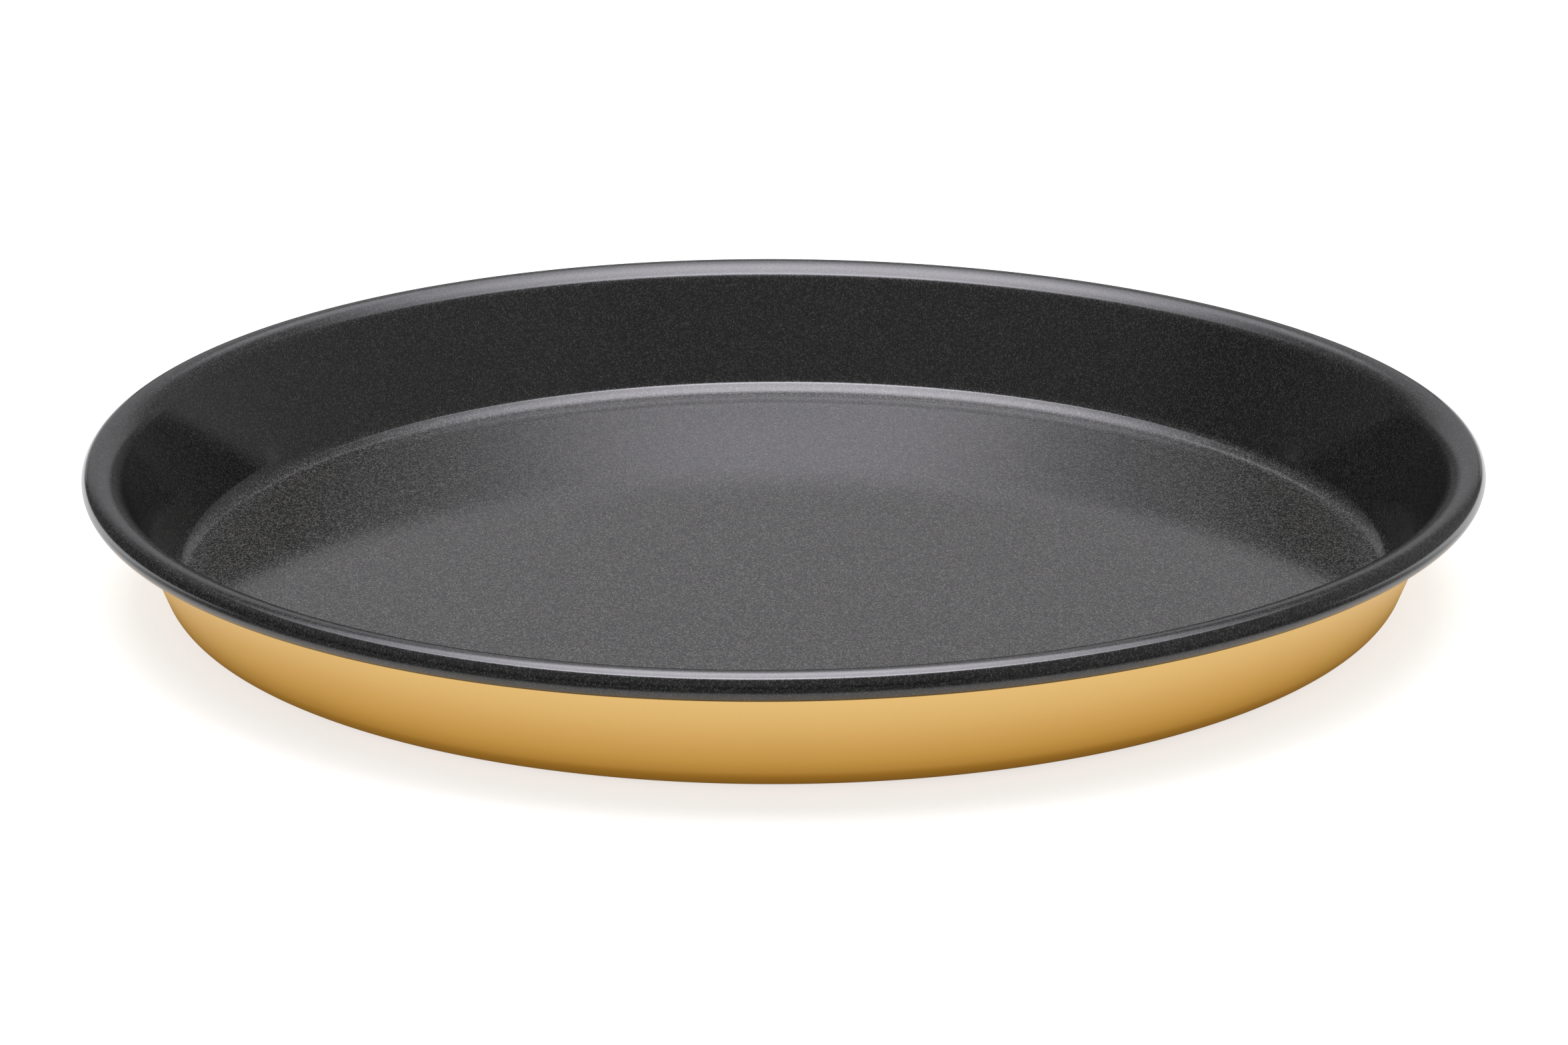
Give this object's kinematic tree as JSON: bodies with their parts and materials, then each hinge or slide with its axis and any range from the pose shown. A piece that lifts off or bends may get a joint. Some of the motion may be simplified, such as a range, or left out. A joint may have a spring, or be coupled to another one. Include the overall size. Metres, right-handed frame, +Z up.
{
  "type": "round baking pan",
  "caption": "Round shallow baking pan of drawn steel with a flared wall and a rolled, wired rim, non-stick inside and golden lacquer outside.",
  "frame": {"origin": "centre of the underside, on the surface that the pan stands on", "axes": "+Z up along the axis of the pan; X and Y are free, because the pan is a body of revolution"},
  "size_m": [0.3, 0.3, 0.0305],
  "materials": {
    "sheet_steel": "bare drawn sheet, shows only at the cut edge under the roll",
    "non_stick": "charcoal non-stick coating, satin, with fine light flecks",
    "golden_lacquer": "satin golden-yellow metallic lacquer",
    "wire_steel": "drawn steel wire, hidden in the roll"
  },
  "bodies": {
    "root": {"steel_shell": "sheet_steel", "inner_coating": "non_stick", "outer_coating": "golden_lacquer", "rim_wire": "wire_steel"}
  },
  "joints": []
}
